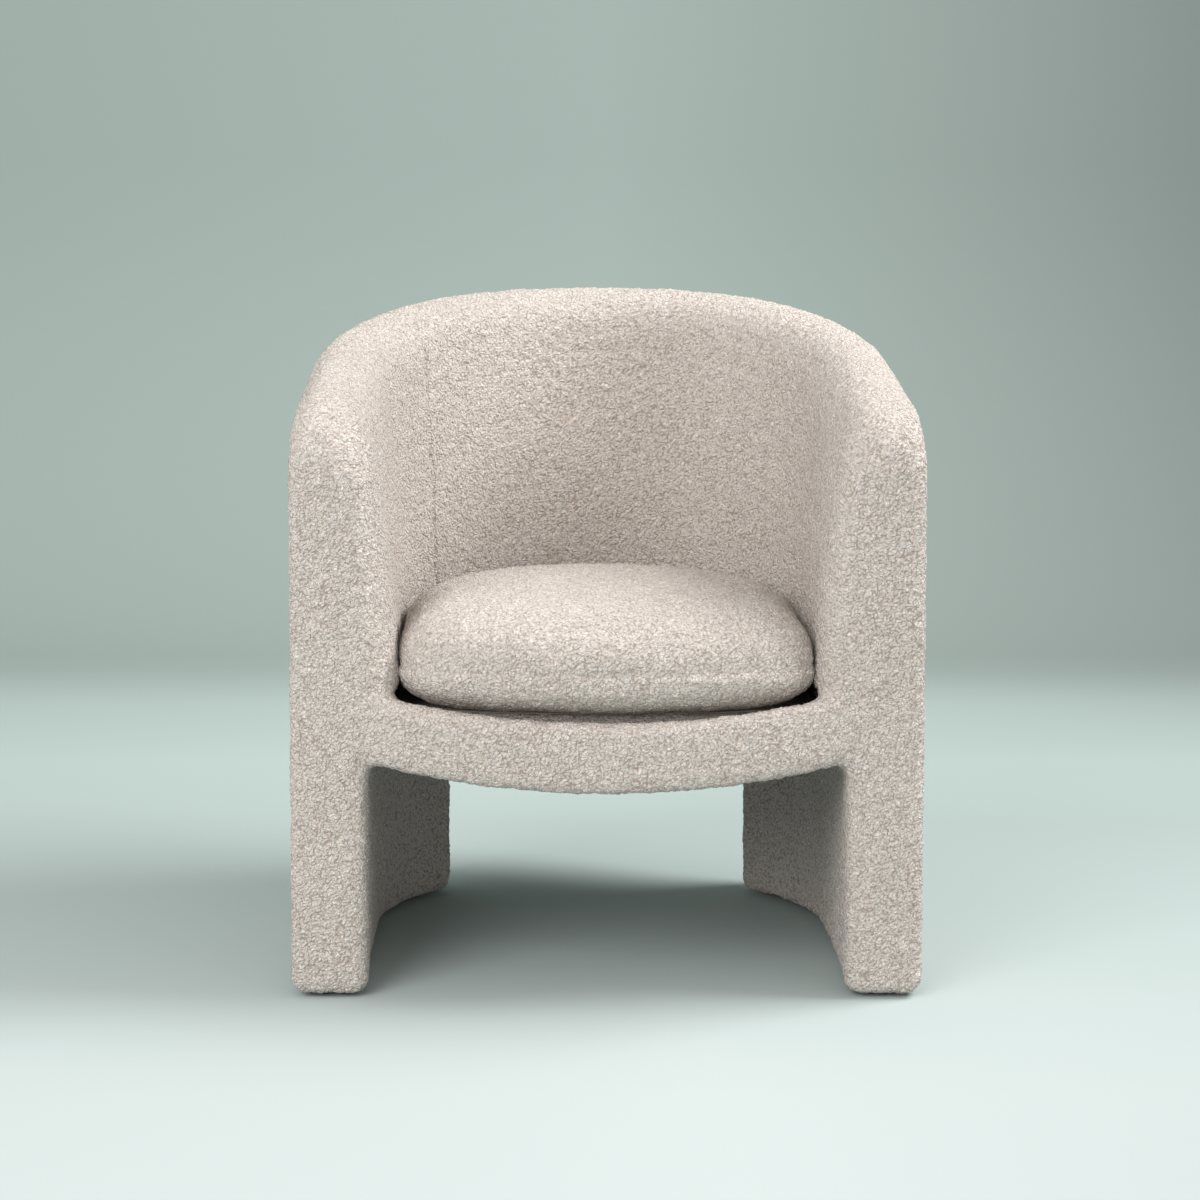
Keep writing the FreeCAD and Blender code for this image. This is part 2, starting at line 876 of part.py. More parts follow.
def cushion_pieces():
    """Foam core, fibre wrap and the two cover panels of the loose cushion."""
    angles = (90, 60, 30)
    shares = (0.0, 0.06, 0.22, 0.5, 1.0, 1.7, 2.6, 3.6)
    outside = cushion_form(0.0, angles, shares)
    lining = cushion_form(cushion_cloth, angles, shares)
    padding = cushion_form(cushion_cloth + seam_gap, angles, (0.0, 0.22, 1.0, 3.6))
    slot = zip_slot(zip_recess, zip_height, zip_half_angle)
    shell = outside.cut(lining).cut(slot)
    upper = Part.makeBox(far, far, far, V(-far / 2, -far / 2, cushion_seam))
    lower = Part.makeBox(far, far, far, V(-far / 2, -far / 2, cushion_seam - far))
    wrap = padding.cut(cushion_core(0.0)).cut(slot)
    return cushion_core(seam_gap), wrap, shell.common(upper), shell.common(lower)


def cushion_zip():
    """Two tapes and the closed teeth between them, in the rear slot."""
    base = cushion_half_width - zip_recess + seam_gap
    low = cushion_seam - zip_height / 2 + seam_gap
    half = zip_half_angle - 0.2
    tape = arc_band(base + tape_thickness, base, 90 - half, 90 + half, low, zip_height - 2 * seam_gap)
    return tape


def zip_slider():
    """Slider of the zip, parked at the closed end on the left."""
    base = cushion_half_width - zip_recess + 2 * seam_gap + tape_thickness
    share = math.degrees(slider_length / base)
    first = 90 + zip_half_angle - 1 - share
    low = cushion_seam - slider_height / 2
    return arc_band(base + slider_thickness, base, first, first + share, low, slider_height)


def both(name, shape, pieces):
    """Add a right-hand shape and its mirror image under their own names."""
    pieces[name + "_right"] = shape
    pieces[name + "_left"] = mirrored(shape)


def group(shapes):
    return Part.makeCompound(shapes)


def build():
    pieces = {}
    both("arm_cover", arm_cover(), pieces)
    pieces["inside_back_cover"] = inside_back_cover()
    both("outside_arm_cover", outside_arm_cover(), pieces)
    pieces["outside_back_cover"] = outside_back_cover()
    both("leg_cover", leg_cover(), pieces)
    pieces["back_rail_cover"] = back_rail_cover()
    pieces["front_rail_cover"] = front_rail_cover()
    both("arm_foam", arm_foam(), pieces)
    pieces["back_foam"] = back_foam()
    both("leg_foam", leg_foam(), pieces)
    pieces["back_rail_foam"] = back_rail_foam()
    pieces["front_rail_foam"] = front_rail_foam()
    both("leg_base_plate", base_plate(), pieces)
    both("leg_posts", group(leg_posts()), pieces)
    pieces["seat_ring"] = seat_ring()
    pieces["seat_rim"] = seat_rim()
    both("arm_posts", group(arm_posts()), pieces)
    pieces["back_posts"] = group(back_posts())
    rails = top_rail_pieces()
    pieces["top_rail_right"], pieces["top_rail_left"], pieces["top_rail_back"] = rails
    pieces["front_rail_board"] = front_rail_board()
    pieces["back_board"] = back_board()
    pieces["seat_webbing"] = group(seat_webbing())
    pieces["deck_foam"] = deck_foam()
    pieces["deck_cloth"] = deck_cover()
    pieces["dust_cover"] = dust_cover()
    both("glides", group(glides()), pieces)
    core, wrap, upper, lower = cushion_pieces()
    pieces["cushion_core"] = core
    pieces["cushion_wrap"] = wrap
    pieces["cushion_top_cover"] = upper
    pieces["cushion_bottom_cover"] = lower
    pieces["cushion_zip"] = cushion_zip()
    pieces["zip_slider"] = zip_slider()
    return pieces


def main():
    os.makedirs("parts", exist_ok=True)
    for name, shape in build().items():
        solids = shape.Solids
        print(name, len(solids), round(shape.Volume), shape.isValid(), shape.BoundBox)
        if len(solids) == 1:
            shape = solids[0]
        shape.exportStep("parts/" + name + ".step")


main()
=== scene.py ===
import math

import bmesh
import bpy
from mathutils import Matrix, Vector, kdtree


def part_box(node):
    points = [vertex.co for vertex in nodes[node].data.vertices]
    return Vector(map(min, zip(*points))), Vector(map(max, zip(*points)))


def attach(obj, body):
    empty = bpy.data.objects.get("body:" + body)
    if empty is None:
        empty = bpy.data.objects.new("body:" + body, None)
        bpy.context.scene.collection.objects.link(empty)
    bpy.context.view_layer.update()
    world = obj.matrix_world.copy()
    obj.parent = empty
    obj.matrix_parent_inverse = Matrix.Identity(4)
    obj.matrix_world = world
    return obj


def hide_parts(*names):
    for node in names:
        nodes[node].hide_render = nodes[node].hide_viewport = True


# Upholstered tub chair in looped cloth, dressed over its solids, in metres.

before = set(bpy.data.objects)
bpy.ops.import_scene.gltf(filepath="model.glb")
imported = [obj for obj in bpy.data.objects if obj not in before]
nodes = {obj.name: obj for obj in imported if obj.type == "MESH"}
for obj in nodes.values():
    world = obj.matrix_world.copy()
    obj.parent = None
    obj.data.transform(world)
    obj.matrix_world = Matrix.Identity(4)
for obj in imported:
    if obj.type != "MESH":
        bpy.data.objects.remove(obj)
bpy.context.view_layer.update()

# Sizes shared with the solids
half_width = 0.355
centre = Vector((0, -0.010, 0))
front_y = -0.303
crest_slope = math.radians(12.9)
back_height = 0.808
back_y = 0.345
crest_seam_drop = 0.034
front_edge_round = 0.011
nose_radius = 0.085
arm_base = 0.345
inside_seam_angle = math.radians(32)
outside_seam_angle = math.radians(45)
underside = 0.238
rail_half_span = 0.267
deck_top = 0.320
dust_top = 0.2587
cushion_seam = 0.371

# How fine the cloth is made
skin_voxel = 0.0060
cushion_voxel = 0.0050
skin_smoothing = 6

# Zones that tell the panels apart
rail_rear = -0.2380
dust_front = -0.270
leg_zone = 0.2
panel_depth = 0.012
skin_depth = 0.02
near_seam = 0.012
wall_foot = 0.006
leg_end_angle = math.radians(46)

# Yarn and seams
nub_size = 0.0052
panel_nub_height = 0.0030
cushion_nub_height = 0.0026
seam_depth = 0.0024
seam_spread = 0.0036
hem_turned_in = 0.006

# Filling of the cushion
filling_pressure = 4.0
filling_travel = 0.0055
filling_frames = 20
slack_before_filling = 0.0022
side_play = 0.0005
front_play = 0.004

# Zip, with its angles round the tub's centre in degrees
zip_first = 36
zip_last = 144
zip_low = 0.3655
zip_high = 0.3765
tape_reach = 0.2342
tape_thickness = 0.0009
teeth_reach = 0.2347
teeth_count = 170
sheet_thickness = 0.0012

WRAP = ["arm_cover", "outside_arm_cover", "leg_cover", "arm_foam", "leg_foam"]
WRAP_NODES = [name + side for name in WRAP for side in ("_right", "_left")]
CORE_NODES = ["inside_back_cover", "outside_back_cover", "back_rail_cover", "front_rail_cover"]
CORE_NODES += ["back_foam", "back_rail_foam", "front_rail_foam", "back_board", "back_posts"]
CORE_NODES += ["seat_ring", "seat_rim", "top_rail_back", "top_rail_right", "top_rail_left"]
CORE_NODES += ["arm_posts_right", "arm_posts_left", "leg_posts_right", "leg_posts_left"]
CORE_NODES += ["leg_base_plate_right", "leg_base_plate_left", "front_rail_board"]
CORE_NODES += ["deck_foam", "deck_cloth", "dust_cover", "seat_webbing"]


# Mesh helpers


def merged_copy(names):
    """One bmesh of the named solids, with the corners of their triangles joined."""
    bm = bmesh.new()
    for name in names:
        bm.from_mesh(nodes[name].data)
    bmesh.ops.remove_doubles(bm, verts=bm.verts, dist=0.00001)
    return bm


def new_piece(name, bm):
    mesh = bpy.data.meshes.new(name)
    bm.to_mesh(mesh)
    bm.free()
    piece = bpy.data.objects.new(name, mesh)
    bpy.context.scene.collection.objects.link(piece)
    return piece


def applied(piece):
    """A new bmesh of the piece with its modifiers worked in; the piece goes."""
    graph = bpy.context.evaluated_depsgraph_get()
    mesh = bpy.data.meshes.new_from_object(piece.evaluated_get(graph), depsgraph=graph)
    bm = bmesh.new()
    bm.from_mesh(mesh)
    bpy.data.meshes.remove(mesh)
    old = piece.data
    bpy.data.objects.remove(piece)
    bpy.data.meshes.remove(old)
    return bm


def remeshed(bm, voxel):
    piece = new_piece("rough_form", bm)
    remesh = piece.modifiers.new("grain", "REMESH")
    remesh.mode = "VOXEL"
    remesh.voxel_size = voxel
    return applied(piece)


def islands(bm):
    """Groups of joined faces, the largest first."""
    left = set(bm.faces)
    groups = []
    while left:
        seed = left.pop()
        group = [seed]
        for face in group:
            for edge in face.edges:
                for other in edge.link_faces:
                    if other in left:
                        left.remove(other)
                        group.append(other)
        groups.append(group)
    return sorted(groups, key=len, reverse=True)


def keep_outer_skin(bm):
    loose = [face for group in islands(bm)[1:] for face in group]
    bmesh.ops.delete(bm, geom=loose, context="FACES")


def smoothed(bm, rounds, factor=0.5):
    for _ in range(rounds):
        bmesh.ops.smooth_vert(
            bm, verts=bm.verts, factor=factor, use_axis_x=True, use_axis_y=True, use_axis_z=True
        )


def cut(bm, faces, spot, normal):
    """Adds an edge line where a plane crosses the given faces."""
    edges = {edge for face in faces for edge in face.edges}
    verts = {vert for face in faces for vert in face.verts}
    geom = list(faces) + list(edges) + list(verts)
    bmesh.ops.bisect_plane(bm, geom=geom, dist=0.0006, plane_co=spot, plane_no=normal)


# Where the cloth is cut


def crest_seam_height(y):
    """Height of the outside crest seam at a place from front to back."""
    crest = back_height - math.tan(crest_slope) * (back_y - y)
    return crest - crest_seam_drop / math.cos(crest_slope)


def outer_depth(spot):
    """How far a spot lies inside the outer face of the tub."""
    if spot.y < centre.y:
        return half_width - abs(spot.x)
    return half_width - (spot - Vector((0, centre.y, spot.z))).length


def bearing(spot):
    """Angle round the tub's centre, from the right-hand arm."""
    return math.atan2(spot.y - centre.y, abs(spot.x))


def nose_planes():
    """Planes that bound the outside panels at the front top corner."""
    reach = nose_radius - front_edge_round
    hub = Vector((0, front_y + nose_radius, 0))
    hub.z = crest_seam_height(hub.y) - reach * 0.92
    planes = []
    for step in range(7):
        turn = crest_slope * (1 - step / 6) + math.radians(90) * step / 6
        normal = Vector((0, -math.sin(turn), math.cos(turn)))
        planes.append((hub + normal * reach, normal))
    return planes



def classify(spot, normal):
    """Name of the cloth panel that a face of the skin belongs to, or nothing."""
    side = "_right" if spot.x > 0 else "_left"
    depth = outer_depth(spot)
    turn = bearing(spot)
    above_legs = spot.z > leg_zone
    behind_rail = spot.y > rail_rear
    if above_legs and spot.z < underside + 0.026 and normal.z < -0.6 and depth > 0.095:
        under_deck = spot.y > dust_front and spot.z < dust_top + 0.004
        return None if under_deck else "front_rail_cloth"
    if depth > 0.1 and spot.z < deck_top + wall_foot and behind_rail:
        return None
    if depth < panel_depth and inside_nose(spot) and abs(normal.z) < 0.7:
        if turn > outside_seam_angle and spot.z > underside + 0.002:
            return "outside_back_cloth"
        return "outside_arm_cloth" + side
    if spot.z > deck_top and turn > inside_seam_angle and spot.y > centre.y:
        return "inside_back_cloth"
    if spot.z > arm_base and spot.y > front_y - 0.001 and depth < 0.2:
        return "arm_cloth" + side
    if abs(spot.x) < rail_half_span and spot.y < -0.2 and above_legs:
        return "front_rail_cloth"
    if turn > leg_end_angle and above_legs:
        return "back_rail_cloth"
    if spot.z > deck_top and depth > 0.06 and behind_rail:
        return "arm_cloth" + side
    return "leg_cloth" + side


def inside_nose(spot):
    """True below the crest seam and behind the seam at the arm's front edge."""
    return all((spot - place).dot(normal) < 0 for place, normal in nose_lines)


nose_lines = nose_planes()


def sector_faces(bm, test):
    return [face for face in bm.faces if test(face.calc_center_median())]


def beside(spot, place, normal):
    """True for a spot so near a plane that its face may be cut there."""
    return abs((spot - place).dot(normal)) < near_seam


def in_outer_skin(spot):
    return outer_depth(spot) < skin_depth


def cut_panels(bm):
    """Runs edge lines along every seam, so that the panels part cleanly."""
    for place, normal in nose_lines:
        near = sector_faces(bm, lambda spot: in_outer_skin(spot) and beside(spot, place, normal))
        cut(bm, near, place, normal)
    for sign in (1, -1):
        inside = Vector((-sign * math.sin(inside_seam_angle), math.cos(inside_seam_angle), 0))
        near = sector_faces(
            bm,
            lambda spot: spot.x * sign > 0
            and spot.y > centre.y
            and beside(spot, centre, inside)
            and spot.z > deck_top
            and not (outer_depth(spot) < panel_depth and inside_nose(spot)),
        )
        cut(bm, near, centre, inside)
        outside = Vector((-sign * math.sin(outside_seam_angle), math.cos(outside_seam_angle), 0))
        near = sector_faces(
            bm,
            lambda spot: spot.x * sign > 0 and beside(spot, centre, outside) and in_outer_skin(spot),
        )
        cut(bm, near, centre, outside)
    level = Vector((0, 0, deck_top + wall_foot))
    upward = Vector((0, 0, 1))
    near = sector_faces(bm, lambda spot: beside(spot, level, upward) and outer_depth(spot) > 0.09)
    cut(bm, near, level, upward)


def tub_skin():
    """The chair's whole outer surface, smooth, with a panel number on each face."""
    bm = remeshed(merged_copy(WRAP_NODES + CORE_NODES), skin_voxel)
    keep_outer_skin(bm)
    smoothed(bm, skin_smoothing)
    bm.normal_update()
    cut_panels(bm)
    bm.normal_update()
    layer = bm.faces.layers.int.new("panel")
    names = []
    bare = []
    for face in bm.faces:
        name = classify(face.calc_center_median(), face.normal)
        if name is None:
            bare.append(face)
            continue
        if name not in names:
            names.append(name)
        face[layer] = names.index(name)
    bmesh.ops.delete(bm, geom=bare, context="FACES")
    return bm, names


SEAMED = ["outside_arm_cloth_right", "outside_arm_cloth_left"]
SEAMED += ["outside_back_cloth", "inside_back_cloth"]


def seam_points(bm, names, layer):
    """Corners on the lines where a panel is sewn to its neighbour."""
    sewn = {names.index(name) for name in SEAMED if name in names}
    spots = []
    for edge in bm.edges:
        if len(edge.link_faces) != 2:
            continue
        a, b = (face[layer] for face in edge.link_faces)
        if a != b and (a in sewn or b in sewn):
            spots += [vert.co.copy() for vert in edge.verts]
    tree = kdtree.KDTree(len(spots))
    for index, spot in enumerate(spots):
        tree.insert(spot, index)
    tree.balance()
    return tree


def sink_seams(bm, tree, depth, spread):
    """Draws the cloth in along its seams, with a slight swell beside them."""
    moves = []
    for vert in bm.verts:
        spot, index, away = tree.find(vert.co)
        if away is None or away > 4 * spread:
            continue
        share = away / spread
        drop = depth * math.exp(-share * share) - 0.22 * depth * math.exp(-((share - 2) ** 2))
        moves.append((vert, vert.normal * drop))
    for vert, move in moves:
        vert.co -= move


def loop_texture(name, size):
    texture = bpy.data.textures.new(name, "VORONOI")
    texture.noise_scale = size
    texture.distance_metric = "DISTANCE"
    texture.weight_1 = 1.0
    return texture


def looped_surface(piece, size, height):
    """Raises real nubs of yarn all over a piece of cloth."""
    nubs = piece.modifiers.new("yarn_nubs", "DISPLACE")
    nubs.texture = loop_texture(piece.name + "_nubs", size)
    nubs.texture_coords = "LOCAL"
    nubs.strength = -height
    nubs.mid_level = 0.45
    slub = piece.modifiers.new("yarn_slubs", "DISPLACE")
    slub.texture = bpy.data.textures.new(piece.name + "_slubs", "CLOUDS")
    slub.texture.noise_scale = size * 3
    slub.texture_coords = "LOCAL"
    slub.strength = height * 0.8
    slub.mid_level = 0.5


def subdivided(piece):
    finer = piece.modifiers.new("finer", "SUBSURF")
    finer.levels = finer.render_levels = 1


def turned_in(bm, depth):
    """Folds the cloth's free edges in, as they are behind a seam."""
    bm.normal_update()
    rim = [edge for edge in bm.edges if len(edge.link_faces) == 1]
    if not rim:
        return
    normals = {vert: vert.normal.copy() for edge in rim for vert in edge.verts}
    made = bmesh.ops.extrude_edge_only(bm, edges=rim)["geom"]
    for vert in [item for item in made if isinstance(item, bmesh.types.BMVert)]:
        near = min(
            (edge.other_vert(vert) for edge in vert.link_edges),
            key=lambda other: (other.co - vert.co).length,
        )
        vert.co -= normals.get(near, vert.normal) * depth


def part_panels(bm, names):
    """One bmesh for each panel of the skin."""
    panels = {}
    for index, name in enumerate(names):
        other = bm.copy()
        number = other.faces.layers.int["panel"]
        away = [face for face in other.faces if face[number] != index]
        bmesh.ops.delete(other, geom=away, context="FACES")
        turned_in(other, hem_turned_in)
        panels[name] = other
    bm.free()
    return panels


def smooth_faces(piece):
    for polygon in piece.data.polygons:
        polygon.use_smooth = True


def remember_lie(bm):
    """Keeps each corner's direction, so that parted panels still shade as one."""
    bm.normal_update()
    lie = bm.verts.layers.float_vector.new("lie")
    for vert in bm.verts:
        vert[lie] = vert.normal


def shade_as_one(piece):
    lie = [item.vector.copy() for item in piece.data.attributes["lie"].data]
    piece.data.normals_split_custom_set_from_vertices(lie)
    piece.data.attributes.remove(piece.data.attributes["lie"])


def upholster():
    """All the fixed panels of the chair's cloth."""
    bm, names = tub_skin()
    whole = new_piece("tub_skin", bm)
    subdivided(whole)
    bm = applied(whole)
    bm.normal_update()
    layer = bm.faces.layers.int["panel"]
    sink_seams(bm, seam_points(bm, names, layer), seam_depth, seam_spread)
    bm.normal_update()
    whole = new_piece("tub_skin", bm)
    looped_surface(whole, nub_size, panel_nub_height)
    bm = applied(whole)
    remember_lie(bm)
    pieces = {}
    for name, panel in part_panels(bm, names).items():
        pieces[name] = new_piece(name, panel)
        smooth_faces(pieces[name])
        shade_as_one(pieces[name])
    return pieces


# Loose seat cushion


def drawn_in(bm, amount):
    """Makes a form slightly smaller, so that it can swell back to its size."""
    bm.normal_update()
    moves = [(vert, vert.normal.copy()) for vert in bm.verts]
    for vert, normal in moves:
        vert.co -= normal * amount


def swollen(piece, pressure, cap):
    """Fills a closed form like a cushion: cloth under pressure, its travel capped."""
    start = [vert.co.copy() for vert in piece.data.vertices]
    cloth = piece.modifiers.new("filling", "CLOTH")
    cloth.settings.use_pressure = True
    cloth.settings.uniform_pressure_force = pressure
    cloth.settings.effector_weights.gravity = 0
    cloth.settings.quality = 4
    cloth.settings.tension_stiffness = 20
    cloth.settings.compression_stiffness = 20
    cloth.settings.bending_stiffness = 1.5
    cloth.collision_settings.use_collision = False
    cloth.point_cache.frame_start = 1
    cloth.point_cache.frame_end = filling_frames
    scene = bpy.context.scene
    for step in range(1, filling_frames + 1):
        scene.frame_set(step)
        bpy.context.view_layer.update()
    bm = applied(piece)
    scene.frame_set(1)
    bm.verts.ensure_lookup_table()
    for vert, before in zip(bm.verts, start):
        travel = vert.co - before
        if travel.length > cap:
            vert.co = before + travel * (cap / travel.length)
    return bm


def fit_between(bm, low, high):
    """Brings the swollen form back to the box that the seat leaves for it."""
    for axis in range(3):
        least = min(vert.co[axis] for vert in bm.verts)
        most = max(vert.co[axis] for vert in bm.verts)
        grow = (high[axis] - low[axis]) / (most - least)
        for vert in bm.verts:
            vert.co[axis] = low[axis] + (vert.co[axis] - least) * grow


def hold_between(vert, low, right):
    """Keeps a point of the cushion between the arms and over the rail."""
    vert.co.x = max(low.x - side_play, min(right + side_play, vert.co.x))
    vert.co.y = max(low.y - front_play, vert.co.y)


def fill_out_below(bm):
    """Settles the cushion's lower half outwards over the rail and into the arms."""
    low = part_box("cushion_bottom_cover")[0]
    bm.normal_update()
    for vert in bm.verts:
        share = (cushion_seam - vert.co.z) / (cushion_seam - low.z)
        if not 0 < share < 1:
            continue
        side = Vector((vert.normal.x, vert.normal.y, 0))
        corner = 1 + 1.2 * abs(side.x * side.y)
        vert.co += side * 0.008 * corner * math.sin(math.pi * (0.30 + 0.62 * share))
        vert.co.z = cushion_seam - (cushion_seam - low.z) * (1 - (1 - share) ** 1.35)
        hold_between(vert, low, -low.x)


def fill_out_shoulders(bm):
    """Plumps the rounded shoulder round the cushion's crown."""
    low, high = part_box("cushion_top_cover")
    bm.normal_update()
    for vert in bm.verts:
        share = (vert.co.z - cushion_seam) / (high.z - cushion_seam)
        if not 0 < share < 1:
            continue
        slope = 1 - abs(vert.normal.z) ** 5
        vert.co += vert.normal * 0.006 * slope * math.sin(math.pi * (0.30 + 0.70 * share))
        vert.co.z = cushion_seam + (high.z - cushion_seam) * (1 - (1 - share) ** 1.25)
        hold_between(vert, low, high.x)
        vert.co.z = min(high.z, vert.co.z)


def sew_cushion_edge(bm):
    """Pulls the cushion in along its seam and puckers the cloth beside it."""
    bm.normal_update()
    for vert in bm.verts:
        away = vert.co.z - cushion_seam
        if abs(away) > 0.05:
            continue
        side = vert.normal.copy()
        side.z = 0
        if side.length < 0.2:
            continue
        side.normalize()
        turn = math.atan2(vert.co.y + 0.05, vert.co.x)
        pucker = 0.0007 * math.sin(turn * 61) + 0.0006 * math.sin(turn * 37 + 1.3)
        groove = 0.0015 * math.exp(-((away / 0.0040) ** 2))
        ripple = pucker * math.exp(-((away / 0.020) ** 2))
        vert.co -= side * (groove + ripple)


def sink_zip(bm):
    """Lets the zip lie in its own recess along the cushion's back edge."""
    for vert in bm.verts:
        turn = math.degrees(math.atan2(vert.co.y - centre.y, vert.co.x))
        away = abs(vert.co.z - cushion_seam)
        if not zip_first < turn < zip_last or away > 0.010:
            continue
        flat = Vector((vert.co.x, vert.co.y - centre.y, 0))
        limit = 0.2325 + 0.006 * min(1, max(0, (away - 0.006) / 0.004))
        if flat.length > limit:
            vert.co -= flat.normalized() * (flat.length - limit)


def fill_cushion():
    """The cushion's cloth: swollen over its core, crowned, sewn round its edge."""
    bm = merged_copy(["cushion_top_cover", "cushion_bottom_cover", "cushion_wrap", "cushion_core"])
    bm = remeshed(bm, cushion_voxel)
    keep_outer_skin(bm)
    smoothed(bm, 8)
    drawn_in(bm, slack_before_filling)
    bm = swollen(new_piece("cushion_form", bm), filling_pressure, filling_travel)
    smoothed(bm, 2, 0.4)
    fit_between(bm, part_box("cushion_bottom_cover")[0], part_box("cushion_top_cover")[1])
    fill_out_below(bm)
    fill_out_shoulders(bm)
    smoothed(bm, 3, 0.5)
    whole = new_piece("cushion_form", bm)
    subdivided(whole)
    bm = applied(whole)
    sew_cushion_edge(bm)
    sink_zip(bm)
    piece = new_piece("seat_cushion_cloth", bm)
    looped_surface(piece, nub_size, cushion_nub_height)
    bm = applied(piece)
    for vert in bm.verts:
        vert.co.z = max(vert.co.z, deck_top + 0.0006)
    piece = new_piece("seat_cushion_cloth", bm)
    smooth_faces(piece)
    return piece


# Zip


def zip_spot(turn, reach, z):
    return Vector((reach * math.cos(turn), centre.y + reach * math.sin(turn), z))


def woven_tape(name, low, high, reach):
    """A flat tape bent round the cushion's back, as a closed thin band."""
    bm = bmesh.new()
    first = math.radians(zip_first)
    ends = [zip_spot(first, reach, low), zip_spot(first, reach, high)]
    verts = [bm.verts.new(spot) for spot in ends]
    edge = bm.edges.new(verts)
    hub = Vector((0, centre.y, 0))
    bmesh.ops.spin(
        bm, geom=[*verts, edge], cent=hub, axis=(0, 0, 1), dvec=(0, 0, 0),
        angle=math.radians(zip_last - zip_first), steps=72, use_merge=False, use_duplicate=False,
    )
    bmesh.ops.recalc_face_normals(bm, faces=bm.faces)
    outward = sum((face.normal.dot(face.calc_center_median() - hub) for face in bm.faces))
    if outward < 0:
        bmesh.ops.reverse_faces(bm, faces=bm.faces)
    bmesh.ops.solidify(bm, geom=bm.faces[:], thickness=tape_thickness)
    return new_piece(name, bm)


def zip_teeth():
    """Interlocked teeth along the middle of the tape."""
    bm = bmesh.new()
    for index in range(teeth_count):
        turn = math.radians(37) + math.radians(106) * index / (teeth_count - 1)
        rise = 0.0007 if index % 2 else -0.0007
        spot = zip_spot(turn, teeth_reach, cushion_seam + rise)
        place = Matrix.Translation(spot) @ Matrix.Rotation(turn, 4, "Z")
        tooth = place @ Matrix.Diagonal((0.0016, 0.0011, 0.0034, 1))
        bmesh.ops.create_cube(bm, size=1, matrix=tooth)
    return new_piece("zip_teeth", bm)


def rounded_block(bm, place, size, round_off, segments):
    """Adds a small block with rounded edges to a mesh."""
    block = bmesh.ops.create_cube(bm, size=1, matrix=place @ Matrix.Diagonal((*size, 1)))
    edges = list({edge for vert in block["verts"] for edge in vert.link_edges})
    bmesh.ops.bevel(
        bm, geom=edges, offset=round_off, offset_type="OFFSET", segments=segments,
        profile=0.5, affect="EDGES", material=-1,
    )


def slider_body():
    """Zip slider: a rounded body with a bridge and a hanging pull."""
    low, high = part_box("zip_slider")
    middle = (low + high) / 2
    turn = math.atan2(middle.y - centre.y, middle.x)
    place = Matrix.Translation(middle) @ Matrix.Rotation(turn, 4, "Z")
    bridge = place @ Matrix.Translation((0.0014, 0.001, 0))
    pull = place @ Matrix.Translation((0.0021, -0.0012, -0.0012))
    bm = bmesh.new()
    rounded_block(bm, place, (0.0024, 0.0088, 0.0064), 0.0008, 3)
    rounded_block(bm, bridge, (0.0012, 0.0040, 0.0016), 0.0004, 2)
    rounded_block(bm, pull, (0.0008, 0.0052, 0.0030), 0.0003, 2)
    return new_piece("zip_slider_body", bm)


# Sheets


def flat_sheet(name, node, thickness, sag):
    """A thin cloth the shape of a node's top face, cut from the solid itself."""
    low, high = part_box(node)
    bm = merged_copy([node])
    bm.normal_update()
    other = [face for face in bm.faces if face.normal.z <= 0.9]
    bmesh.ops.delete(bm, geom=other, context="FACES")
    bmesh.ops.dissolve_limit(bm, angle_limit=0.01, verts=bm.verts, edges=bm.edges)
    area = sum(face.calc_area() for face in bm.faces)
    bmesh.ops.triangulate(bm, faces=bm.faces[:])
    for step in range(1, 40):
        for axis in (0, 1):
            place = Vector(low)
            place[axis] = low[axis] + (high[axis] - low[axis]) * step / 40
            normal = Vector((0, 0, 0))
            normal[axis] = 1
            geom = bm.verts[:] + bm.edges[:] + bm.faces[:]
            bmesh.ops.bisect_plane(bm, geom=geom, dist=0.0001, plane_co=place, plane_no=normal)
    middle = (low + high) / 2
    for vert in bm.verts:
        across = 1 - min(1, abs(vert.co.x - middle.x) / (high.x - middle.x)) ** 2
        along = 1 - min(1, abs(vert.co.y - middle.y) / (high.y - middle.y)) ** 2
        vert.co.z += sag * across * along
    bm.normal_update()
    bmesh.ops.solidify(bm, geom=bm.faces[:], thickness=thickness)
    piece = new_piece(name, bm)
    smooth_faces(piece)
    return piece, area


# Finishes


class Level:
    """A shader value that can be used in sums."""

    def __init__(self, finish, socket):
        self.finish = finish
        self.socket = socket

    def sum(self, operation, first, second):
        return self.finish.add("Math", {"operation": operation}, {0: first, 1: second})

    def __add__(self, other):
        return self.sum("ADD", self, other)

    def __radd__(self, other):
        return self.sum("ADD", other, self)

    def __sub__(self, other):
        return self.sum("SUBTRACT", self, other)

    def __rsub__(self, other):
        return self.sum("SUBTRACT", other, self)

    def __mul__(self, other):
        return self.sum("MULTIPLY", self, other)

    def __rmul__(self, other):
        return self.sum("MULTIPLY", other, self)

    def clamped(self):
        return self.finish.add("Clamp", {}, {"Value": self})

    def wave(self):
        return self.finish.add("Math", {"operation": "SINE"}, {0: self})


